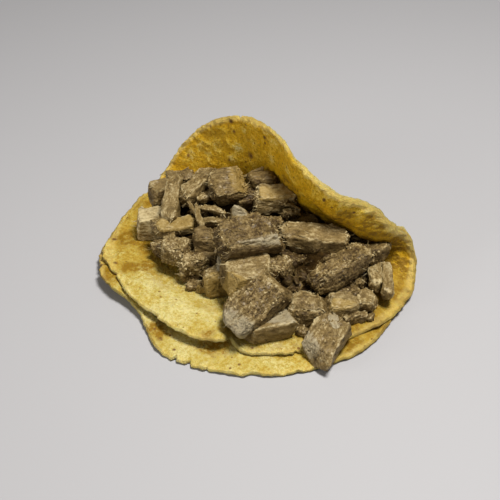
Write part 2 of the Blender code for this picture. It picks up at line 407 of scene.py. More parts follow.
def new_tree(name, tree_kind, inputs, outputs):
    """A tree with named inputs and outputs, each a kind or a starting value. Returns what flows into it."""
    tree = bpy.data.node_groups.new(name, tree_kind)
    for in_out, sockets in (("INPUT", inputs), ("OUTPUT", outputs)):
        for socket_name, value in sockets.items():
            kind = SOCKET_KINDS.get(type(value), value)
            socket = tree.interface.new_socket(socket_name, in_out=in_out, socket_type="NodeSocket" + kind)
            if kind != value:
                socket.default_value = value
    return place(tree, "NodeGroupInput")


def geometry_tree(name, inputs):
    inputs = {"Geometry": "Geometry", **inputs, "Material": "Material"}
    return new_tree(name, "GeometryNodeTree", inputs, {"Geometry": "Geometry"})


def finish_tree(given, geometry):
    """Every geometry tree ends the same way: instances made real, then one material."""
    real = place(given.tree, "GeometryNodeRealizeInstances", {"Geometry": geometry})
    named = place(given.tree, "GeometryNodeSetMaterial", {"Geometry": real, "Material": given["Material"]})
    place(given.tree, "NodeGroupOutput", {0: named})
    return given.tree


def grown(obj, tree, values):
    """Runs a tree on an object with these values, and keeps the result as the object's plain mesh."""
    modifier = obj.modifiers.new("growth", "NODES")
    modifier.node_group = tree
    for item in tree.interface.items_tree:
        if item.in_out == "INPUT" and item.name in values:
            modifier[item.identifier] = values[item.name]
    return baked(obj)


def baked(obj):
    """Keeps what an object's modifiers make of it as its plain mesh, and removes them."""
    depsgraph = bpy.context.evaluated_depsgraph_get()
    result = bpy.data.meshes.new_from_object(obj.evaluated_get(depsgraph), depsgraph=depsgraph)
    obj.modifiers.clear()
    obj.data = result
    obj.data.name = obj.name
    return obj


# The dough lies on the floor: none of it goes lower than this
LOWEST = 0.00003


def folding_tree():
    """Raises the grain, blisters and pits of the dough, then bends the slab up behind the filling."""
    given = geometry_tree("fold a tortilla", {
        "Thickness": TORTILLA_THICKNESS * MM,
        "Layer Height": 0.0,
        "Middle Height": (TORTILLA_THICKNESS + TORTILLA_GAP / 2.0) * MM,
        "Return Radius": RETURN_RADIUS * MM,
        "Wave Height": 0.0005,
        "Blister Height": 0.00056,
        "Grain Height": 0.00022,
        "Crease Height": 0.00024,
        "Pit Depth": 0.00032,
        "Seed": 0.0,
        "Origin": (FOOTPRINT_MIDDLE[0] * MM, FOOTPRINT_MIDDLE[1] * MM, 0.0),
    })
    tree = given.tree
    u, v, side = apart(read(tree, "flat", "FLOAT_VECTOR"))
    own_place = together(u, v, given["Seed"] + calc("SIGN", side) * 0.31)

    wave = (cloud(together(u, v), 38.0, 1.0) - 0.5) * (given["Wave Height"] * 2.0)
    blister = remap(cloud(own_place, 150.0, 2.0, 0.55), 0.42, 0.74)
    dimple = cloud(own_place, 330.0, 2.0, 0.6) - 0.5
    grain = cloud(own_place, 720.0, 2.0, 0.7) - 0.5
    cells = cells_of(own_place, 240.0)
    some = remap(cloud(own_place, 95.0, 1.0), 0.50, 0.62)
    pit = remap(cells["Distance"], 0.30, 0.05) * some
    creases = cloud(stretched(own_place, (0.16, 1.0, 1.0)), 420.0, 2.0, 0.6)
    bent_here = remap(v, 0.006, 0.022)

    blister_height = given["Blister Height"]
    height = blister * blister_height
    height += (creases - 0.5) * bent_here * (given["Crease Height"] * 3.0)
    height += dimple * (blister_height * 0.9)
    height += grain * (given["Grain Height"] * (read(tree, "rim") * 1.2 + 1.0) * 2.0)
    height -= pit * given["Pit Depth"]
    half = given["Thickness"] * (read(tree, "swell") * 0.28 + 0.5) + height
    above = side * half + given["Layer Height"] + read(tree, "lift") + wave

    start, radius, turn, back = (read(tree, "fold_" + name) for name in ("start", "radius", "turn", "return"))
    return_radius = given["Return Radius"]
    left = larger(v - start, 0.0)
    bent = smaller(left / radius, turn)
    left = larger(left - radius * turn, 0.0)
    returned = smaller(left / return_radius, back)
    left = larger(left - return_radius * back, 0.0)
    angle = bent - returned
    settled = turn - returned

    y = radius * sine(bent) + smaller(v, start)
    y += return_radius * (sine(turn) - sine(settled))
    y += left * cosine(angle)
    y -= above * sine(angle)
    z = radius * (1.0 - cosine(bent)) + given["Middle Height"]
    z += return_radius * (cosine(settled) - cosine(turn))
    z += left * sine(angle)
    z += above * cosine(angle)
    point = vectors("SUBTRACT", together(u, y, larger(z, LOWEST)), given["Origin"])
    kept = stored(given["Geometry"], "relief", height / blister_height)
    return finish_tree(given, place(tree, "GeometryNodeSetPosition", {"Geometry": kept, "Position": point}))


def blend(share, first, second, kind="MIX"):
    """One colour going over into another."""
    inputs = {0: share, 6: first, 7: second}
    return place(share.tree, "ShaderNodeMix", inputs, data_type="RGBA", blend_type=kind, clamp_factor=True)[2]


def spots_group():
    """Scattered round spots of uneven size, such as toasted flecks. Only a share of the cells has one."""
    inputs = {"Place": "Vector", "Spacing": 0.004, "Size": 0.2, "Share": 0.3, "Softness": 0.1}
    given = new_tree("scattered spots", "ShaderNodeTree", inputs, {"Mask": "Float"})
    cells = cells_of(given["Place"], 1.0 / given["Spacing"])
    chance = place(given.tree, "ShaderNodeSeparateColor", {0: cells["Color"]})
    size = given["Size"] * (chance[1] * 0.9 + 0.4)
    reach = cloud(given["Place"], 700.0, 1.0) * (size * 0.9) + size * 0.5
    spot = calc("DIVIDE", reach - cells["Distance"], larger(given["Softness"], 0.001), clamp=True)
    place(given.tree, "NodeGroupOutput", {0: spot * calc("LESS_THAN", chance[0], given["Share"])})
    return given.tree


def patches_group():
    """Soft-edged irregular patches."""
    inputs = {"Place": "Vector", "Size": 0.01, "Share": 0.5, "Softness": 0.1}
    given = new_tree("soft patches", "ShaderNodeTree", inputs, {"Mask": "Float"})
    field = cloud(given["Place"], 1.0 / given["Size"], 3.0, 0.6, 0.3)
    level = given["Share"] * -0.5 + 0.75
    mask = remap(field, level - given["Softness"], level + given["Softness"])
    place(given.tree, "NodeGroupOutput", {0: mask})
    return given.tree


def fine_grain_group():
    """The finest relief of a food surface, too small to model: a height for a Bump node, and a tone."""
    inputs = {"Place": "Vector", "Size": 0.0006, "Stretch": (1.0, 1.0, 1.0)}
    given = new_tree("fine grain", "ShaderNodeTree", inputs, {"Height": "Float", "Tone": "Float"})
    across = vectors("MULTIPLY", given["Place"], given["Stretch"])
    scale = 1.0 / given["Size"]
    coarse = cloud(across, scale * 0.28, 2.0, 0.6)
    height = coarse * 0.8 + cloud(across, scale, 3.0, 0.65)
    place(given.tree, "NodeGroupOutput", {0: height, 1: coarse})
    return given.tree


spots = spots_group()
patches = patches_group()
fine_grain = fine_grain_group()


def grouped(tree, group, **inputs):
    return place(tree, "ShaderNodeGroup", inputs, node_tree=group)


def fact(tree, name, output="Fac"):
    """What a material finds stored on the mesh under this name."""
    return place(tree, "ShaderNodeAttribute", attribute_name=name)[output]


def new_material(name, fixed):
    """A material, its tree, and its shader's inputs, with those that are the same all over set."""
    material = bpy.data.materials.new(name)
    material.use_nodes = True
    sockets = material.node_tree.nodes["Principled BSDF"].inputs
    for socket_name, value in fixed.items():
        sockets[socket_name].default_value = value
    return material, material.node_tree, sockets


def surface(sockets, colour, roughness, grain):
    """What changes over a surface: its colour, its roughness, and the relief of the finest grain."""
    inputs = {"Strength": 1.0, "Distance": BUMP_DISTANCE, "Height": grain["Height"]}
    wire(sockets["Base Color"], colour)
    wire(sockets["Roughness"], roughness)
    wire(sockets["Normal"], place(grain.tree, "ShaderNodeBump", inputs))


BUMP_DISTANCE = 0.0008
CORN_PALE = (0.66, 0.58, 0.24, 1.0)
CORN_RIM = (0.84, 0.68, 0.24, 1.0)
CORN_BODY = (0.52, 0.40, 0.085, 1.0)
CORN_GOLD = (0.46, 0.30, 0.035, 1.0)
# Amber and honey are painted light: the warm light shining through the thin dough of the standing flap.
CORN_AMBER_PAINTED_LIGHT = (0.74, 0.42, 0.004, 1.0)
CORN_HONEY_PAINTED_LIGHT = (0.86, 0.58, 0.055, 1.0)
CORN_OILY = (0.27, 0.145, 0.006, 1.0)
CORN_TOASTED = (0.16, 0.065, 0.015, 1.0)
CORN_SCORCHED = (0.045, 0.018, 0.010, 1.0)


def corn_material(name, seed):
    """Baked corn dough: pale and floury where dry, golden where oil has run in or the sheet is bent, with
    painted light and shade on the flap and in the grain.
    """
    material, tree, sockets = new_material(name, {
        "Specular IOR Level": 0.20,
        "Subsurface Weight": 0.10,
        "Subsurface Radius": (1.0, 0.55, 0.08),
        "Subsurface Scale": 0.0022,
    })
    on_sheet = fact(tree, "flat", "Vector")
    across, along, side = apart(on_sheet)
    flat = stretched(on_sheet, (1.0, 1.0, 0.02), (0.0, 0.0, seed))
    relief = fact(tree, "relief")
    drift = cloud(flat, 90.0, 3.0, 0.6)
    stipple = cloud(flat, 620.0, 4.0, 0.8)
    ragged = stipple * 0.9 + (drift * 0.9 - 0.90)
    bent_up = remap(along, 0.004, 0.026)
    inside = remap(side, -0.3, 0.3)
    standing = bent_up * inside
    dry = fact(tree, "dry") * (1.0 - bent_up)

    def marked(mark, low, high):
        return remap(fact(tree, mark) + ragged, low, high)

    # How pale the dough is drawn: from gold at 0 to floury at 1, with painted light and shade in it
    floury = marked("floury", 0.35, 0.95)
    level = dry * 0.72 - 0.06
    level += (drift - 0.5) * 1.1
    level += remap(stipple, 0.41, 0.59, -0.5, 0.5) * (dry * -0.38 + 0.80)
    level += floury * 0.30
    # The bent part is drawn less pale: painted shade.
    level *= bent_up * -0.35 + 1.0
    # Raised grain is drawn lighter and dimpled grain darker: painted light and shade.
    level += (relief - 0.25) * 0.42
    level += floury * bent_up * 0.42
    # The painted highlight along the flap's rolled lip
    level += fact(tree, "painted_lip_highlight") * 0.52
    level += inside * -0.34 + 0.34
    # On the standing flap gold turns amber and honey: painted light shining through the thin dough.
    golden = blend(standing, CORN_GOLD, CORN_AMBER_PAINTED_LIGHT)
    fresh = blend(standing, CORN_BODY, CORN_HONEY_PAINTED_LIGHT)
    palest = blend(bent_up * 0.8, CORN_PALE, CORN_RIM)
    colour = blend(remap(level, 0.02, 0.46, kind="LINEAR"), golden, fresh)
    colour = blend(remap(level, 0.46, 1.15, kind="LINEAR"), colour, palest)

    # Oil, from the meat and at the far left, and the pits that hold it; low grain is darker also as painted
    # shade
    far_left = remap(across, -0.010, -0.055) * standing
    near_meat = marked("oil", 0.42, 0.80) * (dry * -0.75 + 1.0)
    mottle = remap(cloud(flat, 330.0, 3.0, 0.65), 0.40, 0.60)
    # Some of the marks read here are painted shade, not oil.
    oil = larger(near_meat, marked("soaked_and_shaded", 0.46, 0.86))
    oil = calc("MULTIPLY", oil, mottle * 0.85 + 0.40, clamp=True)
    pitted = remap(stipple, 0.51, 0.40) * (dry * -0.34 + 0.50)
    low = remap(relief, -0.05, -0.7)
    for share in (far_left * 0.36, oil * 0.98, pitted, low * 0.45):
        colour = blend(share, colour, CORN_OILY)
    # The rim is drawn paler all round, and on the bent flap paler still: there it is a painted highlight
    # along the ridge.
    pale_rim_and_ridge_highlight = remap(fact(tree, "rim") + ragged * 0.7, 0.20, 0.9)
    colour = blend(pale_rim_and_ridge_highlight * (bent_up * 0.25 + 0.25), colour, CORN_RIM)

    flecks = grouped(tree, spots, Place=flat, Spacing=0.0034, Size=0.18, Share=0.48, Softness=0.08)
    colour = blend(flecks * 0.8, colour, CORN_TOASTED)
    colour = blend(marked("toasted", 0.40, 0.75) * 0.75, colour, CORN_TOASTED)
    colour = blend(marked("toasted", 0.70, 0.95) * 0.80, colour, CORN_SCORCHED)

    grain = grouped(tree, fine_grain, Place=flat, Size=0.00085)
    surface(sockets, colour, grain["Tone"] * 0.30 + 0.40 - oil * 0.18, grain)
    return material


fold = folding_tree()
tortillas = []
for name, node, tortilla in (
    ("lower_tortilla_skin", "lower_tortilla", LOWER),
    ("upper_tortilla_skin", "upper_tortilla", UPPER),
):
    sheet_mesh, sheet_points = flat_tortilla(name, tortilla, TORTILLA_CELLS)
    describe_dough(sheet_mesh, sheet_points, tortilla)
    slab = into_scene(name, sheet_mesh)
    grown(slab, fold, {
        "Layer Height": tortilla["layer"] * (TORTILLA_THICKNESS + TORTILLA_GAP) / 2.0 * MM,
        "Seed": tortilla["seed"] * 0.05,
        "Material": corn_material(name.replace("_skin", "_dough"), tortilla["seed"]),
    })
    soak(slab.data)
    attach(slab, "root")
    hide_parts(node)
    tortillas.append(slab)


# -------------------- inside of the heap
# Between the pieces the heap is wet and closed: small trimmings and juice, drawn darker than the pieces as
# painted shade. One rough core, a few millimetres under the pieces, shows only at the bottom of the gaps
# between them. It is the heap's outline drawn in a little at a time, with its cells made even after each
# step.

CORE_DEPTH = 6.0
CORE_STEPS = 5
CORE_CELL = 1.0
# The core's low tone is painted shade as well.
CORE_FACTS = {"crumble": 1.0, "tone": -0.45}
PIECE_FACTS = ("crumble", "edge", "end", "tone", "fat", "amber")

MEAT_PALE = (0.58, 0.47, 0.25, 1.0)
MEAT_BODY = (0.225, 0.152, 0.053, 1.0)
MEAT_DEEP = (0.050, 0.027, 0.006, 1.0)
MEAT_GREY = (0.50, 0.54, 0.60, 1.0)
MEAT_FAT = (0.40, 0.345, 0.225, 1.0)
MEAT_AMBER = (0.36, 0.24, 0.06, 1.0)
# Painted shade for splits and creases, and the darkest colour of the trimmings in the gaps
MEAT_PAINTED_CREVICE_SHADE = (0.024, 0.013, 0.004, 1.0)


def meat_material(name, pale, body, deep, shine, gloss):
    """Cooked meat with grey-white sinew and fat, drawn darker in its low and split grain and paler on what
    stands out: painted shade and light.
    """
    material, tree, sockets = new_material(name, {"Coat Roughness": 0.36, "Specular IOR Level": gloss})
    grain = fact(tree, "grain_place", "Vector")
    fine = grouped(tree, fine_grain, Place=grain, Size=0.00075, Stretch=(0.40, 1.0, 1.0))
    stained = grouped(tree, patches, Place=grain, Size=0.0060, Share=0.5, Softness=0.16)
    threads = cloud(stretched(grain, (0.35, 1.0, 1.0)), 800.0, 3.0, 0.7)
    grit = cloud(grain, 950.0, 3.0, 0.8)
    drift = cloud(grain, 230.0, 2.0, 0.55)

    # Raised grain is drawn lighter and low grain darker, painted light and shade; edges are drawn lighter
    # too.
    lightness = fact(tree, "relief") * 1.15 + 0.32
    lightness += (threads - 0.5) * 1.1
    lightness += (grit - 0.5) * (fact(tree, "crumble") * 2.0 + 0.9)
    lightness += (drift - 0.5) * 0.9
    lightness += fact(tree, "tone") * 0.80
    lightness += fact(tree, "edge") * 0.40
    lightness += (stained - 0.5) * -0.26
    colour = blend(remap(lightness, -0.25, 0.5, kind="LINEAR"), deep, body)
    colour = blend(remap(lightness, 0.5, 1.15, kind="LINEAR"), colour, pale)
    greyish = remap(cloud(stretched(grain, (0.7, 1.0, 1.0), (0.3, 0.1, 0.2)), 150.0), 0.42, 0.66)
    colour = blend(greyish * 0.30, colour, MEAT_GREY, "SOFT_LIGHT")
    broken = threads - 0.5
    amber = remap(fact(tree, "amber") + broken, 0.25, 0.85)
    fat = remap(broken * 2.4 + fact(tree, "fat"), 0.30, 1.10)
    colour = blend(amber * 0.55, colour, MEAT_AMBER)
    colour = blend(fat * 0.70, colour, MEAT_FAT)
    # Splits and creases are drawn darker: painted shade.
    colour = blend(fact(tree, "shaded_crevice") * 0.45, colour, MEAT_PAINTED_CREVICE_SHADE)

    surface(sockets, colour, fine["Tone"] * 0.30 + shine - fat * 0.14, fine)
    wire(sockets["Coat Weight"], remap(drift + grit * 0.4, 0.62, 0.82) * (gloss * 1.3))
    return material


def stirred(vector, scale, detail, amount, roughness=0.5):
    """A push in any direction, by up to about half of the amount."""
    colour = cloud(vector, scale, detail, roughness)["Color"]
    return vectors("SCALE", vectors("SUBTRACT", colour, (0.5, 0.5, 0.5)), amount)


def cooking_tree():
    """Gives blocks of meat their grain: warped sides, bundles split along the fibres, crumbs, worn edges."""
    given = geometry_tree("cook the meat", {
        "Warp": 0.0028,
        "Raggedness": 0.0016,
        "Bundle Height": 0.0005,
        "Thread Height": 0.00016,
        "Crumb Height": 0.0008,
        "Crumb Size": 0.0021,
        "Grit Size": 0.0011,
        "Edge Wear": 0.0009,
        "Split Depth": 0.0005,
    })
    tree = given.tree
    grain = read(tree, "grain_place", "FLOAT_VECTOR")
    crumble = read(tree, "crumble")
    edge = read(tree, "edge")

    warp = stirred(grain, 110.0, 1.0, given["Warp"], 0.6)
    ragged = stirred(grain, 400.0, 2.0, given["Raggedness"] * (crumble * 1.2 + 0.10), 0.6)
    bundle = cloud(stretched(grain, (0.45, 1.0, 1.0)), 300.0)
    thread = cloud(stretched(grain, (0.30, 1.0, 1.0)), 750.0, 2.0, 0.65) - 0.5
    torn_here = remap(cloud(grain, 170.0, 1.0), 0.50, 0.62)
    split = remap(calc("ABSOLUTE", bundle - 0.5), 0.030, 0.0) * torn_here

    rough = crumble * remap(cloud(grain, 200.0), 0.34, 0.54)
    field = cloud(stretched(grain, (0.6, 1.0, 1.0)), 1.0 / given["Crumb Size"], 4.0, 0.68)
    billow = calc("ABSOLUTE", field * 2.0 - 1.0)
    grit_place = vectors("ADD", grain, stirred(grain, 700.0, 1.0, 0.0016, 0.6))
    cells = cells_of(grit_place, 1.0 / given["Grit Size"])
    chance = apart(cells["Color"])
    grit = (cells["Distance"] * -1.4 + 1.0) * (chance * chance)
    crumbs = grit * 0.70 + (billow * 2.4 - 0.62)
    wear = cloud(grain, 480.0, 3.0, 0.65) - 0.56

    bundles = (bundle - 0.5) * ((crumble * 0.7 + 0.3) * 2.0)
    height = bundles * given["Bundle Height"]
    height += thread * (given["Thread Height"] * 2.0)
    height += crumbs * rough * given["Crumb Height"]
    height += wear * edge * 3.0 * given["Edge Wear"]
    height -= split * given["Split Depth"]
    # What the material paints light and shade from: how high the grain stands, and its splits and creases.
    relief = thread * 0.7 + bundles * 0.30
    relief += crumbs * (rough * 0.42)
    relief += wear * (edge * 1.1)
    crease = remap(billow, 0.07, 0.0) * rough

    kept = stored(given["Geometry"], "relief", relief)
    kept = stored(kept, "shaded_crevice", larger(split, crease * 0.35))
    normal = place(tree, "GeometryNodeInputNormal")
    kept = moved(kept, vectors("ADD", warp, ragged))
    return finish_tree(given, moved(kept, vectors("SCALE", normal, height)))


cooking = cooking_tree()
cut_meat = meat_material("cooked_meat", MEAT_PALE, MEAT_BODY, MEAT_DEEP, 0.36, 0.20)
# The trimmings' colours are the cut meat's one step darker: painted shade deep in the gaps.
gap_meat_in_painted_shade = meat_material("trimmings_in_painted_shade", MEAT_BODY, MEAT_DEEP, MEAT_PAINTED_CREVICE_SHADE, 0.6, 0.03)

outline = bmesh.new()
outline.from_mesh(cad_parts["meat_heap"].data)
bmesh.ops.remove_doubles(outline, verts=outline.verts, dist=1e-6)
bmesh.ops.recalc_face_normals(outline, faces=outline.faces)
core = into_scene("heap_core", bpy.data.meshes.new("heap_core"))
outline.to_mesh(core.data)
outline.free()
for step in range(CORE_STEPS + 1):
    remesh = core.modifiers.new("even_cells", "REMESH")
    remesh.mode = "VOXEL"
    remesh.voxel_size = CORE_CELL * MM
    if step < CORE_STEPS:
        shrink = core.modifiers.new("shrink", "DISPLACE")
        shrink.strength = -CORE_DEPTH / CORE_STEPS * MM
        shrink.mid_level = 0.0
baked(core)
store(core.data, "grain_place", points_of(core.data))
for fact_name in PIECE_FACTS:
    store(core.data, fact_name, np.full(len(core.data.vertices), CORE_FACTS.get(fact_name, 0.0)))
core.data.materials.clear()
grown(core, cooking, {"Crumb Height": 0.0016, "Crumb Size": 0.0034, "Material": gap_meat_in_painted_shade})
core.data.shade_smooth()
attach(core, "root")
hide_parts("meat_heap")


# -------------------- cut pieces of meat
# Braised pork, boiled until grey-brown and chopped on a board with a cleaver. Each piece is a rough block
# with its grain along its length, some sides sliced clean, the others crumbled and torn. They lie as they
# fell, pressed flat where they touch the dough.

# The size of the blocks' cells, half a block's size as a share of what its row says, and how flat a cut is
CELL = 0.47
FULLNESS = 0.53
CUT_SHARE = 0.96


def block_skin(counts):
    """The skin of a block as an even lattice: its points as whole steps, and quads that face outwards."""
    points, quads, start = [], [], 0
    for axis in range(3):
        first, second = (axis + 1) % 3, (axis + 2) % 3
        for side in (0, counts[axis]):
            a, b = np.meshgrid(np.arange(counts[first] + 1), np.arange(counts[second] + 1), indexing="ij")
            layer = np.empty((a.size, 3), int)
            layer[:, axis] = side
            layer[:, first] = a.ravel()
            layer[:, second] = b.ravel()
            quad = net(start + np.arange(a.size).reshape(a.shape))
            points.append(layer)
            quads.append(quad if side else quad[:, ::-1])
            start += a.size
    points, joined = np.unique(np.concatenate(points), axis=0, return_inverse=True)
    return points, joined.ravel()[np.concatenate(quads)]


def cut_block(share, half, dice, squareness, uneven, slices, nicks):
    """Rounds a block's corners, makes them uneven, and cuts it: where it is sliced, and at random."""
    reach = (np.abs(share) ** squareness).sum(axis=1) ** (1.0 / squareness)
    grown_by = np.ones_like(share)
    for corner in range(8):
        signs = np.array([(corner & 1) * 2 - 1, (corner & 2) - 1, (corner & 4) // 2 - 1])
        weight = np.prod((1.0 + share * signs) / 2.0, axis=1)[:, None]
        grown_by += weight * np.array([dice.uniform(-1.4, 0.6) * uneven for _ in range(3)])
    solid = share / reach[:, None] * half * grown_by
    cuts = list(slices)
    for _ in range(nicks):
        cuts.append([*(dice.gauss(0.0, 1.0) for _ in range(3)), dice.uniform(0.62, 0.86)])
    for *direction, depth in cuts:
        normal = np.array(direction, float)
        normal /= np.linalg.norm(normal)
        over = np.maximum(solid @ normal - depth * np.abs(normal * half).sum(), 0.0)
        solid -= over[:, None] * normal * CUT_SHARE
    return solid


def block_of_meat(seed, middle, size, turn, squareness, crumble, tone, uneven=0.24, nicks=6, slices=(),
                  sag=0.0, bow=0.0, fat=None, amber=None):
    """One piece. `slices` are cuts, each a direction in the piece's own axes and how far out it is, as a
    share of the piece, and `nicks` is how many more it has at random. `sag` and `bow` bend it. `crumble` is
    for the top, the sides and the ends. `fat` and `amber` are each a direction and the share without it."""
    dice = random.Random(seed)
    half = np.array(size) * FULLNESS
    points, quads = block_skin([max(3, round(side / CELL)) for side in size])
    share = points / points.max(axis=0) * 2.0 - 1.0
    solid = cut_block(share, half, dice, squareness, uneven, slices, nicks)
    along = solid[:, 0] / half[0]
    solid[:, 2] -= sag * along ** 2
    solid[:, 1] += bow * along ** 2

    heading, pitch, roll = (math.radians(angle) for angle in turn)
    spin = np.array(Euler((roll, -pitch, heading), "XYZ").to_matrix())
    world = solid @ spin.T + np.array(middle) - np.array((*FOOTPRINT_MIDDLE, 0.0))
    outward = (share / (np.abs(share).max(axis=1)[:, None])) ** 5
    outward /= np.linalg.norm(outward, axis=1)[:, None]
    top = np.clip((outward @ spin.T)[:, 2], 0.0, 1.0)
    end = smooth_step(0.75, 1.0, np.abs(share[:, 0]))
    second_furthest = np.sort(np.abs(share), axis=1)[:, 1]
    facts = {
        "edge": smooth_step(0.72, 1.0, second_furthest),
        "end": end,
        "crumble": (crumble[0] * top + crumble[1] * (1.0 - top)) * (1.0 - end) + crumble[2] * end,
        # Sides that face up are drawn lighter than the rest: painted light from above.
        "tone": tone + dice.uniform(-0.12, 0.12) + 0.24 * smooth_step(0.15, 0.75, top) - 0.18,
    }
    for name, where in (("fat", fat), ("amber", amber)):
        facts[name] = np.zeros(len(share))
        if where:
            *direction, begins = where
            direction = np.array(direction, float)
            direction /= np.linalg.norm(direction)
            facts[name] = smooth_step(begins, begins + 0.25, (solid / half) @ direction)
    facts["grain_place"] = (solid + np.array([dice.uniform(-90.0, 90.0) for _ in range(3)])) * MM
    facts["grain_way"] = np.sign(share[:, :1]) * spin[:, 0]
    return world * MM, quads, facts


def piece_object(name, blocks):
    """Several blocks as one object, each point with the facts that trees and materials read."""
    points, quads, facts = zip(*blocks)
    starts = np.cumsum([0] + [len(part) for part in points])
    faces = np.concatenate([part + start for part, start in zip(quads, starts)])
    mesh = bpy.data.meshes.new(name)
    mesh.from_pydata(np.concatenate(points).tolist(), [], faces.tolist())
    mesh.shade_smooth()
    for fact_name in ("grain_place", "grain_way", *PIECE_FACTS):
        store(mesh, fact_name, np.concatenate([part[fact_name] for part in facts]))
    return into_scene(name, mesh)


def top_sheet(slab):
    """The upper side of a tortilla, to be met by the meat that lies on it."""
    across = TORTILLA_CELLS + 1
    quads = net(np.arange(across ** 2).reshape(across, across))
    return BVHTree.FromPolygons(points_of(slab.data)[:across ** 2].tolist(), quads.tolist())


sheets = [top_sheet(slab) for slab in reversed(tortillas)]

# The gap left between meat and dough, how far meat may have sunk in, and how far past the rim still counts
MEAT_GAP = 0.25
SHEET_REACH = 16.0
RIM_REACH = 0.8


def settle(obj):
    """Nothing sinks into a tortilla or the floor: points that would are pressed flat against it instead."""
    points = points_of(obj.data)
    gap = MEAT_GAP * MM
    for index, values in enumerate(points):
        point = Vector(values)
        for sheet in sheets:
            near, normal, _, _ = sheet.find_nearest(point, SHEET_REACH * MM)
            if near is None:
                continue
            height = (point - near).dot(normal)
            beside = (point - near - normal * height).length
            if height < gap and beside < RIM_REACH * MM:
                point = near + normal * gap
        point.z = max(point.z, gap)
        points[index] = point
    obj.data.vertices.foreach_set("co", points.ravel())
    obj.data.update()


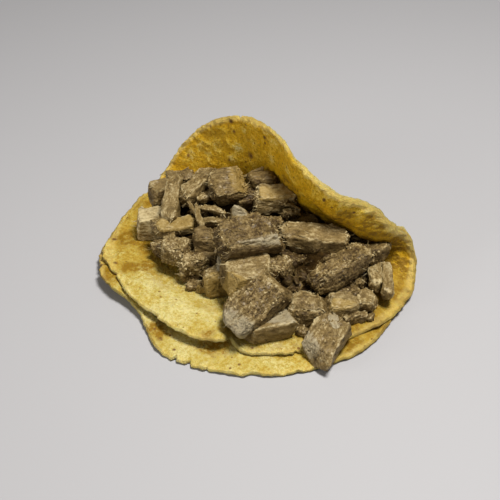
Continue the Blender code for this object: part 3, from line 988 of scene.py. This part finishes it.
# Each piece: name, middle, (length, width, height), (heading, pitch, roll), squareness, how far its top, its
# sides and its ends crumble, tone, and what else sets it apart
HEAP = [
    # slab_top's pale fat along the top of its front side is a painted highlight, the wet shine of that edge.
    ("slab_top", (10, -26, 33), (30, 17, 10), (44, 0, 14), 12.0, (0.8, 0.0, 0.9), -0.16,
     dict(uneven=0.12, fat=(0.15, -1.0, 1.0, 0.98),
          slices=[(1, 1, 0.15, 0.52), (-1, 1, 0.2, 0.8), (-1, -0.7, 0.5, 0.74), (0.1, -1, 1.2, 0.8)])),
    ("slab_right", (33, -6, 27), (32, 14, 9), (16, 0, 8), 7.0, (0.15, 0.3, 1.0), 0.04,
     dict(slices=[(1, 1, 0.2, 0.72), (1, -1, 0, 0.78), (-1, -1, 0.2, 0.76), (-1, 1, 0, 0.84)])),
    ("log_right", (47, -11, 20), (35, 16, 14), (64, 10, 0), 2.8, (0.9, 0.7, 1.0), -0.16,
     dict(uneven=0.32, nicks=3, slices=[(1, 1, 0.6, 0.76), (1, -0.4, 0.9, 0.72)])),
    ("crumbly_front", (26, -49, 17), (34, 18, 13), (70, 20, 12), 4.0, (1.0, 0.7, 0.3), 0.05,
     dict(nicks=3, fat=(-1.0, -0.1, 0.3, 0.62),
          slices=[(1, 1, 0.2, 0.72), (-1, 1, 0.4, 0.7), (1, -1, -0.4, 0.74)])),
    ("block_front", (33, -51, 9.6), (22, 14, 11), (48, 0, 0), 12.0, (0.4, 0.0, 0.2), -0.02,
     dict(nicks=2, fat=(0.2, 0.3, 1.0, 0.6), slices=[(1, 0.2, 0.8, 0.74)])),
    ("knob_front", (43, -34.5, 9.8), (20, 15, 14), (30, 0, 0), 2.8, (0.6, 0.5, 0.6), 0.18,
     dict(nicks=2, slices=[(1, 0.1, 1.1, 0.58), (-1, 0.1, 0.7, 0.66), (0, -1, 0.7, 0.7)])),
    ("lump_right", (56, -23, 9.8), (16, 13, 10), (40, 0, 0), 3.4, (0.4, 0.3, 0.6), 0.22,
     dict(nicks=2, amber=(-0.2, -0.6, 0.8, 0.72), slices=[(-1, 0.2, 0.8, 0.68), (1, -1, 0.3, 0.7)])),
    ("lump_far_right", (63, -15, 8.6), (12, 10, 9), (20, 0, 0), 3.4, (0.4, 0.4, 0.6), 0.25,
     dict(nicks=2, slices=[(1, 0, 1, 0.62)])),
    ("facet_left", (16, -38, 21), (24, 17, 15), (38, 0, 0), 14.0, (0.4, 0.05, 0.3), 0.18,
     dict(nicks=3, amber=(-1, -0.8, 0.0, 0.62),
          slices=[(1, -0.9, 0.9, 0.56), (-1, -0.7, 0.5, 0.64), (0.2, 1, 0.6, 0.74)])),
    ("crust_middle", (21.5, -27, 21.5), (18, 12, 9), (6, 0, 0), 6.0, (0.9, 0.7, 0.9), 0.15,
     dict(slices=[(-1, 1, 0.3, 0.7), (1, 0.2, 0.9, 0.66), (1, -1, 0, 0.74)])),
    ("fat_left", (0, -39, 12), (13, 11, 14), (50, 0, 0), 5.5, (0.6, 0.4, 0.4), 0.0,
     dict(amber=(-0.4, -1.0, 0.1, 0.45), slices=[(-1, -1, 0.6, 0.6), (1, -1, 0.6, 0.7)])),
    ("ragged_upper", (-25, -35, 17), (18, 13, 11), (10, 0, 0), 3.6, (1.0, 0.9, 1.0), 0.12,
     dict(uneven=0.3, slices=[(-1, -1, 0.6, 0.62)])),
    ("ragged_lower", (-15, -37, 13), (16, 13, 15), (35, 0, 0), 3.6, (1.0, 0.9, 1.0), 0.05,
     dict(uneven=0.3, slices=[(-1, -1, 0.8, 0.6), (1, -0.3, 0.9, 0.7)])),
    ("cube_middle", (-15, -28, 19), (11, 11, 14), (35, 0, 0), 5.5, (0.2, 0.15, 0.4), -0.05,
     dict(nicks=2, slices=[(1, -1, 0.6, 0.7), (-1, 1, 0.8, 0.7)])),
    ("fat_slab", (-33, -25, 20.5), (23, 11, 6), (38, 0, 8), 5.0, (0.4, 0.4, 0.6), 0.2,
     dict(nicks=4, bow=1.5, amber=(0.2, -0.3, 1.0, 0.55),
          slices=[(-1, -1, 0.0, 0.66), (1, 1, 0.2, 0.7), (1, -1, 0.4, 0.74)])),
    ("wedge_back_left", (-52, -4, 20), (14, 9, 14), (60, 0, 0), 5.5, (0.2, 0.15, 0.3), 0.02,
     dict(slices=[(1, 0, 0.9, 0.6), (-1, -1, 0.2, 0.72)])),
    ("long_left", (-41, -14, 25), (29, 9, 10), (114, 16, 0), 5.5, (0.3, 0.25, 0.5), 0.12,
     dict(slices=[(1, 1, 0.4, 0.72), (-1, 0.6, 0.6, 0.7), (0, 1, 1, 0.78)])),
    ("torn_back", (-34, -1.5, 30), (27, 9, 8), (84, 10, 0), 5.0, (0.5, 0.4, 0.8), 0.12,
     dict(sag=1.0, slices=[(1, 1, 0.3, 0.7), (-1, 0.3, 0.8, 0.7)])),
    ("tall_back", (-19, 1, 32.5), (19, 18, 14), (36, 0, 32), 3.0, (0.5, 0.4, 0.9), -0.08,
     dict(uneven=0.34, nicks=5, amber=(0.8, 0.2, 1.0, 0.62),
          slices=[(1, 0.2, 1.1, 0.56), (-1, -0.4, 0.5, 0.64), (1, -1, -0.2, 0.7), (-1, 1, 0.9, 0.7)])),
    ("arch_back", (2, 9, 28.5), (22, 12, 12), (36, 0, 0), 5.5, (0.2, 0.2, 0.9), 0.36,
     dict(nicks=2, amber=(0.0, -0.3, 1.0, 0.55),
          slices=[(1, 0.3, 1.0, 0.7), (-1, 0.0, 0.9, 0.6), (-1, -1, -0.3, 0.74)])),
    ("round_back", (-7, 14, 32), (15, 9, 10), (30, 0, 0), 3.2, (0.2, 0.2, 0.3), -0.2, dict(nicks=0)),
    ("low_grey", (54, -11, 12), (12, 8, 8), (40, 0, 0), 5.5, (0.9, 0.8, 0.9), 0.0),
    ("stick_inner", (60.5, 0, 12), (17, 6, 8), (112, 0, 0), 5.5, (0.4, 0.3, 0.6), 0.15,
     dict(slices=[(1, -1, 0.5, 0.7)])),
    ("torn_right", (57, 9, 18), (16, 8, 8), (74, 0, 0), 5.0, (0.6, 0.5, 0.9), -0.05),
    ("low_back_left", (-51, 6, 22), (15, 9, 9), (30, 0, 0), 5.5, (0.4, 0.4, 0.5), 0.0),
    # low_back_right, dark_fill, dark_right and under_log have tones far below zero: dark pieces drawn as the
    # shade deep in the gaps, painted shade.
    ("low_back_right", (18, 7, 19), (20, 11, 10), (20, 0, 0), 5.5, (0.4, 0.4, 0.5), -0.5),
    ("dark_fill", (25, -13, 17), (19, 14, 10), (70, 0, 0), 5.5, (0.9, 0.9, 0.9), -0.8),
    ("small_back", (-43, 2, 29), (9, 6, 6), (60, 0, 0), 5.5, (0.5, 0.5, 0.6), 0.0),
    ("skin_end", (-31, 0, 29.5), (8, 6, 6), (100, 0, 0), 3.5, (0.0, 0.0, 0.1), -0.15),
    ("small_low", (61, -26, 7), (9, 6, 5), (60, 0, 0), 5.5, (0.7, 0.6, 0.7), 0.0),
    ("gold_low", (-5, -42, 7.5), (10, 7, 6), (20, 0, 0), 5.5, (0.6, 0.5, 0.6), 0.1,
     dict(amber=(0.0, -1.0, 0.3, 0.3))),
    ("brown_mid", (-12, -31, 14), (12, 9, 10), (10, 0, 0), 5.5, (0.3, 0.2, 0.5), -0.1),
    ("dark_right", (54, 6, 13), (14, 10, 10), (80, 0, 0), 5.5, (0.7, 0.7, 0.8), -0.6),
    ("under_log", (45, -16, 9), (14, 10, 8), (60, 0, 0), 5.5, (0.5, 0.5, 0.6), -0.7),
]

# Trimmings that fill the gaps, in the same order of values
# mid_gap, red_dark, behind_knob, the under_log rows and the under_back rows are drawn dark as the shade deep
# in the gaps: painted shade.
TRIMMINGS = [
    ("knot", (-34, -10, 27), (10, 7, 6), (70, 0, 0), 4.0, (0.7, 0.6, 0.8), 0.05),
    ("ridge", (-27, -5, 28), (12, 5, 5), (60, 5, 0), 4.0, (0.6, 0.5, 0.8), 0.1),
    ("gap_left_low", (-10, -43, 6.5), (9, 6, 5), (30, 0, 0), 4.0, (0.8, 0.8, 0.8), 0.0),
    ("left_side", (-33, -32, 12), (15, 9, 9), (20, 0, 0), 3.6, (1.0, 0.9, 1.0), 0.0, dict(uneven=0.3)),
    ("left_low", (-41, -19, 17), (12, 8, 10), (70, 0, 0), 5.0, (0.5, 0.4, 0.6), 0.0),
    ("mid_gap", (-28, -19.5, 18), (12, 8, 8), (40, 0, 0), 5.0, (0.7, 0.6, 0.8), -0.6),
    ("under_slab", (3.5, -32, 21), (10, 7, 7), (10, 0, 0), 5.0, (0.6, 0.6, 0.8), -0.1),
    ("bits_a", (13.5, 5.5, 26), (10, 5, 5), (30, 0, 0), 4.0, (0.9, 0.8, 0.9), -0.1),
    ("bits_b", (8, 8.6, 29), (7, 5, 5), (70, 0, 0), 4.0, (0.9, 0.8, 0.9), 0.05),
    ("red_dark", (57.5, 0, 9), (10, 8, 7), (60, 0, 0), 5.0, (0.6, 0.5, 0.7), -0.6),
    ("behind_knob", (32, -29.5, 12), (11, 8, 9), (20, 0, 0), 5.0, (0.6, 0.5, 0.7), -0.5),
    ("right_top", (43, 11, 20), (12, 6, 5), (20, -8, 0), 4.0, (0.9, 0.8, 1.0), 0.0),
    ("low_front_right", (63, -22.5, 6), (9, 6, 5), (20, 0, 0), 4.0, (0.8, 0.7, 0.9), 0.0),
    ("crumb_right", (67.5, -20, 4.8), (5, 4, 3.5), (70, 0, 0), 4.0, (0.8, 0.8, 0.9), 0.0),
    ("crumb_front", (46, -44, 6), (7, 5, 4), (10, 0, 0), 4.0, (0.8, 0.8, 0.9), 0.0),
    ("pale_bit", (-6.5, -9, 28.3), (9, 4, 8), (24, 0, -24), 9.0, (0.0, 0.0, 0.1), 0.3,
     dict(fat=(0.3, -0.5, 0.8, 0.0), slices=[(1, 0, 1.1, 0.42), (-1, 0, 0.6, 0.66)])),
    ("under_log_right", (53, -17, 11), (13, 9, 7), (50, 0, 0), 4.0, (0.8, 0.6, 0.8), -0.3),
    ("under_log_left", (35, -20, 15), (13, 9, 7), (20, 0, 0), 4.0, (0.8, 0.6, 0.8), -0.8),
    ("under_back_a", (0, -9, 25), (13, 8, 7), (60, 0, 0), 5.0, (0.7, 0.6, 0.8), -0.35),
    ("under_back_b", (9, -5, 24.5), (14, 8, 8), (15, 0, 0), 5.0, (0.8, 0.6, 0.8), -0.25),
    ("under_back_c", (19, -10, 23.5), (13, 9, 8), (75, 0, 0), 5.0, (0.6, 0.6, 0.8), -0.3),
    ("under_back_d", (-10, -14, 22), (12, 8, 7), (30, 0, 0), 5.0, (0.7, 0.6, 0.8), -0.3),
    ("fat_strip", (0.2, -36.6, 20.5), (17, 4.5, 4), (118, 30, 0), 3.5, (0.0, 0.0, 0.1), 0.1,
     dict(fat=(0, 0, 1, -3.0))),
    ("under_back_e", (-8, 6, 26), (15, 10, 9), (40, 0, 0), 5.0, (0.7, 0.6, 0.8), -0.5),
    ("fat_front", (58, -38.5, 12.5), (10, 5.5, 3.6), (-50, -10, 0), 4.0, (0.5, 0.4, 0.6), 0.1,
     dict(uneven=0.34, nicks=4, fat=(0, 0, 1, -3.0))),
]

# Single torn strands and shreds, in the same order of values
STRANDS = [
    ("strand_long", (-22, -20, 27.5), (23, 2.6, 2.4), (-42, -6, 0), 3.0, (0.2, 0.2, 0.8), 0.22,
     dict(sag=1.6, bow=1.2)),
    ("strand_beside", (-26, -17, 27), (20, 2.2, 2.2), (-36, -4, 0), 3.0, (0.2, 0.2, 0.8), 0.1,
     dict(sag=1.8, bow=-1.0)),
    ("shred_upper", (-20, -11, 26.5), (16, 4, 3), (12, 0, 0), 3.5, (0.5, 0.4, 0.9), 0.12,
     dict(sag=1.0, bow=1.0)),
    ("shred_lower", (-16, -16, 24.5), (13, 3.4, 2.6), (22, 0, 0), 3.5, (0.5, 0.4, 0.9), 0.15,
     dict(sag=0.8, bow=-0.8)),
    ("back_splinter", (-12, 14, 35.5), (13, 2.6, 2.4), (55, 10, 0), 3.0, (0.3, 0.2, 0.8), 0.2,
     dict(sag=0.5)),
    ("dark_twig", (14, 7, 29), (9, 1.5, 1.5), (14, 0, 0), 3.0, (0.2, 0.2, 0.6), 0.25, dict(sag=0.4)),
    ("frayed_right_a", (49, 8, 24), (9, 1.8, 1.4), (30, 8, 0), 3.0, (0.4, 0.4, 0.9), 0.3),
    ("frayed_right_b", (51, 2, 25), (8, 1.6, 1.4), (10, 16, 0), 3.0, (0.4, 0.4, 0.9), 0.35),
    ("gap_shred", (28, -17, 20), (12, 2.4, 2.0), (80, -10, 0), 3.0, (0.5, 0.4, 0.9), -0.05, dict(sag=0.8)),
    ("left_shred", (-30, -30, 20), (11, 2.6, 2.2), (120, 0, 0), 3.0, (0.5, 0.4, 0.9), 0.05, dict(sag=0.8)),
]


def blocks_of(rows, first_seed=0):
    return [block_of_meat(seed, *row[1:7], **dict(*row[7:])) for seed, row in enumerate(rows, first_seed)]


heap_blocks = blocks_of(HEAP)
heap_pieces = []
for name, blocks in (
    ("cut_pieces_front", heap_blocks[:9]),
    ("cut_pieces_left", heap_blocks[9:21]),
    ("cut_pieces_low", heap_blocks[21:]),
    ("trimmings", blocks_of(TRIMMINGS + STRANDS, 200)),
):
    pieces = piece_object(name, blocks)
    grown(pieces, cooking, {"Material": cut_meat})
    settle(pieces)
    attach(pieces, "root")
    heap_pieces.append(pieces)


# -------------------- pieces that fell clear of the heap
# Three pieces lie on the tortilla by themselves: a flat one hanging over the front rims, a cube at the left
# end, and a narrow ridged stick at the right end. Their rows hold the same values as the heap's.

LOOSE = [
    ("loose_meat_front", (57.8, -44.8, 8.8), (25.5, 18.5, 8), (-88, -13, 0), 12.0, (0.5, 0.15, 0.0), 0.04,
     dict(nicks=2, sag=1.0, fat=(1.0, -0.6, 0.4, 0.5),
          slices=[(0.79, -0.61, 0.0, 0.64), (-0.65, -0.76, 0.0, 0.6), (-0.77, 0.63, 0.0, 0.7),
                  (1, -0.3, 0.9, 0.54)])),
    ("loose_meat_left", (-51, -20, 11.8), (13, 12, 13), (30, 0, 0), 12.0, (0.1, 0.1, 0.2), 0.74,
     dict(uneven=0.1, nicks=2)),
    ("loose_meat_right", (66.5, 0, 11), (22, 6, 9), (118, 0, 0), 5.5, (0.2, 0.1, 0.4), 0.25),
]
for (node, *_), block in zip(LOOSE, blocks_of(LOOSE, 100)):
    piece = piece_object(node + "_piece", [block])
    grown(piece, cooking, {"Material": cut_meat})
    settle(piece)
    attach(piece, "root")
    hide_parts(node)
    heap_pieces.append(piece)


# -------------------- small bits, crumbs and frayed fibres
# Small bits of meat lie tucked in the gaps, over the dark inside of the heap. Chopping leaves grains of meat
# on every torn side, and fibres stand out where a piece was torn across. Grains and fibres are a millimetre
# or so, and follow the sides they lie on.

WHOLE_TURN = 6.28


def laid_out(given, density):
    """Points on the sides of the meat that face up or sideways."""
    normal = place(given.tree, "GeometryNodeInputNormal")
    density = density * remap(apart(normal)[2], -0.45, 0.15)
    inputs = {"Mesh": given["Geometry"], "Density": density, "Seed": given["Seed"]}
    return place(given.tree, "GeometryNodeDistributePointsOnFaces", inputs, distribute_method="RANDOM")


def dice_between(tree, low, high, seed):
    """An uneven number or vector for each point, between two limits."""
    if isinstance(low, tuple):
        kind, first, second, result = "FLOAT_VECTOR", 0, 1, 0
    else:
        kind, first, second, result = "FLOAT", 2, 3, 1
    inputs = {first: low, second: high, "Seed": seed}
    return place(tree, "FunctionNodeRandomValue", inputs, data_type=kind)[result]


def laid_down(points, shape, turn, scale, facts):
    """One copy of a shape on each point, turned and scaled, with the facts that the meat's material reads."""
    inputs = {"Points": points, "Instance": shape, "Rotation": turn, "Scale": scale}
    laid = place(points.tree, "GeometryNodeInstanceOnPoints", inputs)
    for name, value in facts.items():
        laid = stored(laid, name, value, "INSTANCE")
    return laid


def lumps(given, points, roundness, thinnest, thickest, seed, facts):
    """Round lumps of uneven shape, size and turn on the points."""
    tree = given.tree
    lump = place(tree, "GeometryNodeMeshIcoSphere", {"Radius": 1.0, "Subdivisions": roundness})
    turn = dice_between(tree, (0.0, 0.0, 0.0), (WHOLE_TURN, WHOLE_TURN, WHOLE_TURN), seed)
    shape = dice_between(tree, thinnest, thickest, seed + 1)
    size = dice_between(tree, given["Smallest"], given["Largest"], seed + 2)
    return laid_down(points, lump, turn, vectors("SCALE", shape, size), facts)


def crumb_tree():
    """Grains of meat, the more the more a side has crumbled."""
    inputs = {"Density": 240000.0, "Smallest": 0.0003, "Largest": 0.0008, "Seed": 4}
    given = geometry_tree("drop crumbs", inputs)
    crumble = read(given.tree, "crumble")
    points = laid_out(given, given["Density"] * (crumble * crumble))
    facts = {"relief": dice_between(given.tree, -0.15, 0.36, 14), "shaded_crevice": 0.0}
    return finish_tree(given, lumps(given, points, 1, (0.8, 0.4, 0.35), (1.7, 1.0, 0.8), 11, facts))


def fibre_tree():
    """Thin bent fibres, most of them on the torn ends, that point along the grain and a little outwards."""
    given = geometry_tree("fray fibres", {
        "End Density": 60000.0,
        "Side Density": 14000.0,
        "Shortest": 0.0012,
        "Longest": 0.0036,
        "Thickness": 0.00016,
        "Seed": 5,
    })
    tree = given.tree
    at_end = read(tree, "end") * given["End Density"]
    points = laid_out(given, read(tree, "crumble") * (at_end + given["Side Density"]))
    cone = {"Vertices": 4, "Side Segments": 4, "Radius Top": 0.25, "Radius Bottom": 1.0, "Depth": 1.0}
    fibre = place(tree, "GeometryNodeMeshCone", cone, fill_type="TRIANGLE_FAN")
    up = apart(place(tree, "GeometryNodeInputPosition"))[2]
    fibre = moved(fibre, together(up * up * 4.5))
    astray = dice_between(tree, (-0.55, -0.55, -0.55), (0.55, 0.55, 0.55), 21)
    heading = vectors("ADD", read(tree, "grain_way", "FLOAT_VECTOR"), astray)
    lifted = vectors("MULTIPLY_ADD", points["Normal"], (0.28, 0.28, 0.28), heading)
    roll = together(0.0, 0.0, dice_between(tree, 0.0, WHOLE_TURN, 22))
    turn = place(tree, "FunctionNodeAlignRotationToVector", {"Rotation": roll, "Vector": lifted}, axis="Z")
    length = dice_between(tree, given["Shortest"], given["Longest"], 23)
    thickness = given["Thickness"] * dice_between(tree, 0.7, 1.5, 24)
    facts = {"relief": dice_between(tree, 0.10, 0.70, 25), "shaded_crevice": 0.0}
    return finish_tree(given, laid_down(points, fibre, turn, together(thickness, thickness, length), facts))


def bits_tree():
    """Small lumps of meat standing a little out of the core, each as uneven as the large pieces."""
    given = geometry_tree("tuck bits into the gaps", {
        "Density": 20000.0,
        "Smallest": 0.0013,
        "Largest": 0.0032,
        "Unevenness": 0.0045,
        "Seed": 6,
    })
    tree = given.tree
    points = laid_out(given, given["Density"])
    # The bits are drawn darker than the pieces: painted shade in the gaps.
    facts = {"relief": 0.0, "shaded_crevice": 0.0, "tone": dice_between(tree, -0.60, -0.10, 34), "crumble": 0.9}
    laid = lumps(given, points, 2, (1.0, 0.6, 0.5), (1.9, 1.1, 0.9), 31, facts)
    real = place(tree, "GeometryNodeRealizeInstances", {"Geometry": laid})
    spot = place(tree, "GeometryNodeInputPosition")
    kept = stored(real, "grain_place", spot, kind="FLOAT_VECTOR")
    for coarseness, share in ((170.0, 1.0), (480.0, 0.5)):
        kept = moved(kept, stirred(spot, coarseness, 2.0, given["Unevenness"] * share))
    return finish_tree(given, kept)


def all_together(name, objects):
    """One object with copies of the meshes of several, bare of their materials."""
    copies = [into_scene(name, original.data.copy()) for original in objects]
    with bpy.context.temp_override(active_object=copies[0], selected_editable_objects=copies):
        bpy.ops.object.join()
    copies[0].data.materials.clear()
    return copies[0]


bits = all_together("tucked_bits", [core])
for tree in (bits_tree(), cooking):
    grown(bits, tree, {"Material": cut_meat})
    bits.data.shade_smooth()
settle(bits)
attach(bits, "root")

for name, tree in (("loose_crumbs", crumb_tree()), ("frayed_fibres", fibre_tree())):
    litter = all_together(name, heap_pieces)
    grown(litter, tree, {"Material": cut_meat})
    litter.data.shade_smooth()
    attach(litter, "root")


# -------------------- floor, light and camera
# A plain pale floor. One soft light hangs overhead, to the right and a little behind. A weaker, broader one
# from the front left and a pale room fill the shadows. The camera looks down by 40 degrees, from the right
# of the front.

bpy.ops.mesh.primitive_plane_add(size=4.0, location=(0.0, 0.0, 0.0))
floor = bpy.context.object
floor.name = "floor"
paint, _, _ = new_material("pale_floor", {"Base Color": (0.42, 0.42, 0.44, 1.0), "Roughness": 0.6})
floor.data.materials.append(paint)


def turned_towards(obj, location, away):
    """Puts a light or the camera in its place, with its back to the direction `away`."""
    obj.location = location
    obj.rotation_euler = Vector(away).to_track_quat("Z", "Y").to_euler()


def soft_light(name, location, aim, size, watts, colour):
    lamp = bpy.data.lights.new(name, "AREA")
    lamp.shape = "DISK"
    lamp.size = size
    lamp.energy = watts
    lamp.color = colour
    turned_towards(into_scene(name, lamp), location, Vector(location) - Vector(aim))


soft_light("overhead", (0.20, 0.03, 0.76), (0.0, 0.0, 0.02), 0.22, 8.0, (1.0, 0.97, 0.92))
soft_light("front_fill", (-0.45, -0.72, 0.30), (0.0, 0.0, 0.03), 0.45, 2.4, (1.0, 0.96, 0.90))

world = bpy.data.worlds.new("pale_room")
world.use_nodes = True
world.node_tree.nodes["Background"].inputs["Color"].default_value = (1.0, 0.98, 0.96, 1.0)
world.node_tree.nodes["Background"].inputs["Strength"].default_value = 0.14
bpy.context.scene.world = world
bpy.context.scene.view_settings.view_transform = "Standard"

VIEW_AZIMUTH = math.radians(30.0)
VIEW_ELEVATION = math.radians(40.0)
VIEW_DISTANCE = 0.450
VIEW_TARGET = Vector((-0.00763, 0.02585, -0.00175))
away = Vector((
    math.sin(VIEW_AZIMUTH) * math.cos(VIEW_ELEVATION),
    -math.cos(VIEW_AZIMUTH) * math.cos(VIEW_ELEVATION),
    math.sin(VIEW_ELEVATION),
))
lens = bpy.data.cameras.new("camera")
lens.sensor_width = 36.0
lens.lens = 64.8
lens.clip_start = 0.01
camera = into_scene("camera", lens)
turned_towards(camera, VIEW_TARGET + away * VIEW_DISTANCE, away)
bpy.context.scene.camera = camera
